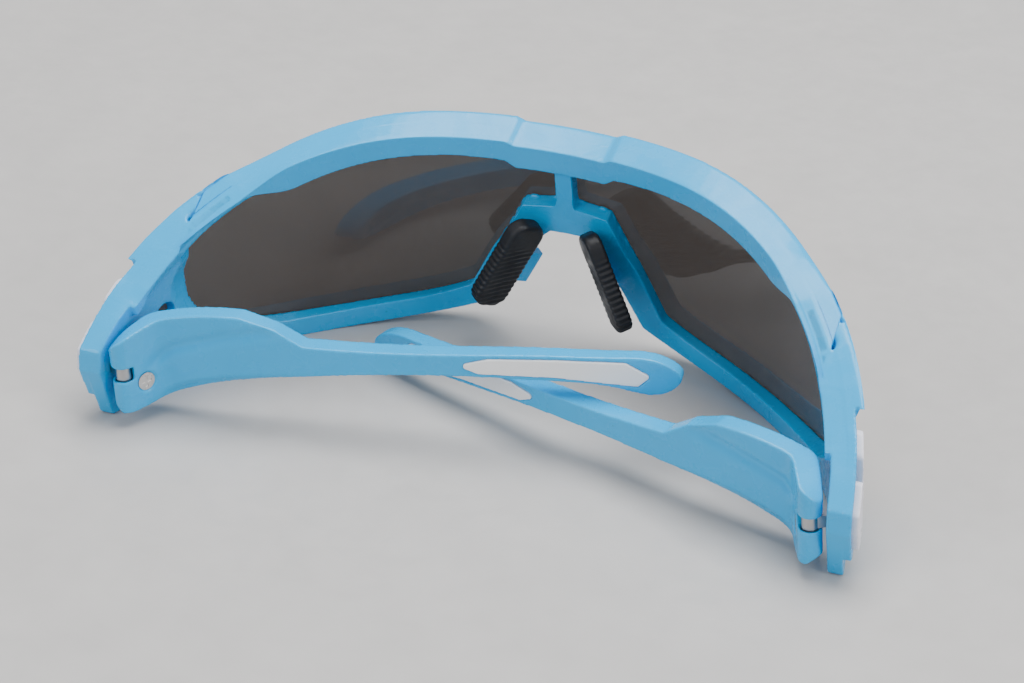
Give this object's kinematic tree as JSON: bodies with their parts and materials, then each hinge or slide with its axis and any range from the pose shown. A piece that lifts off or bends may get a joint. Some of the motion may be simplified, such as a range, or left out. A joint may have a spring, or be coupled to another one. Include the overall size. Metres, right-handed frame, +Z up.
{
  "type": "safety glasses",
  "caption": "Wraparound full-rim safety glasses with a one-piece tinted shield lens, rubber nose pads, side trims and folding temples, resting folded on a surface.",
  "frame": {"origin": "bottom centre of the bounding box of the folded glasses, on the surface they stand on", "axes": "+X towards the wearer's right, +Y forward through the lens, +Z up"},
  "size_m": [0.1502, 0.0644, 0.047],
  "materials": {
    "frame": "glossy moulded nylon, cyan",
    "temple": "glossy moulded nylon, cyan",
    "lens": "brown-grey tinted polycarbonate, polished",
    "trim": "white gloss",
    "insert": "white gloss",
    "nose_pad": "soft satin black",
    "pad_clip": "matte black",
    "lens_stud": "matte dark grey",
    "hinge_metal": "plain steel",
    "screw": "bright zinc"
  },
  "bodies": {
    "front": {"front_frame": "frame", "lens_shield": "lens", "side_trim_upper_left": "trim", "side_trim_lower_left": "trim", "nose_pad_left": "nose_pad", "nose_pad_clip_left": "pad_clip", "lens_stud_left": "lens_stud", "hinge_lug_left": "hinge_metal", "hinge_pin_left": "hinge_metal", "side_trim_upper_right": "trim", "side_trim_lower_right": "trim", "nose_pad_right": "nose_pad", "nose_pad_clip_right": "pad_clip", "lens_stud_right": "lens_stud", "hinge_lug_right": "hinge_metal", "hinge_pin_right": "hinge_metal"},
    "temple_left": {"temple_left": "temple", "temple_insert_left": "insert", "hinge_leaf_left": "hinge_metal", "temple_screw_left": "screw"},
    "temple_right": {"temple_right": "temple", "temple_insert_right": "insert", "hinge_leaf_right": "hinge_metal", "temple_screw_right": "screw"}
  },
  "joints": [
    {"name": "left_temple_fold", "type": "hinge", "parent": "front", "child": "temple_left", "pos_m": [-0.066, -0.0296, 0.011], "axis": [0.0732, 0, -0.9973], "range_deg": [0, 103]},
    {"name": "right_temple_fold", "type": "hinge", "parent": "front", "child": "temple_right", "pos_m": [0.066, -0.0296, 0.011], "axis": [-0.0489, 0, 0.9988], "range_deg": [0, 108.5]}
  ]
}
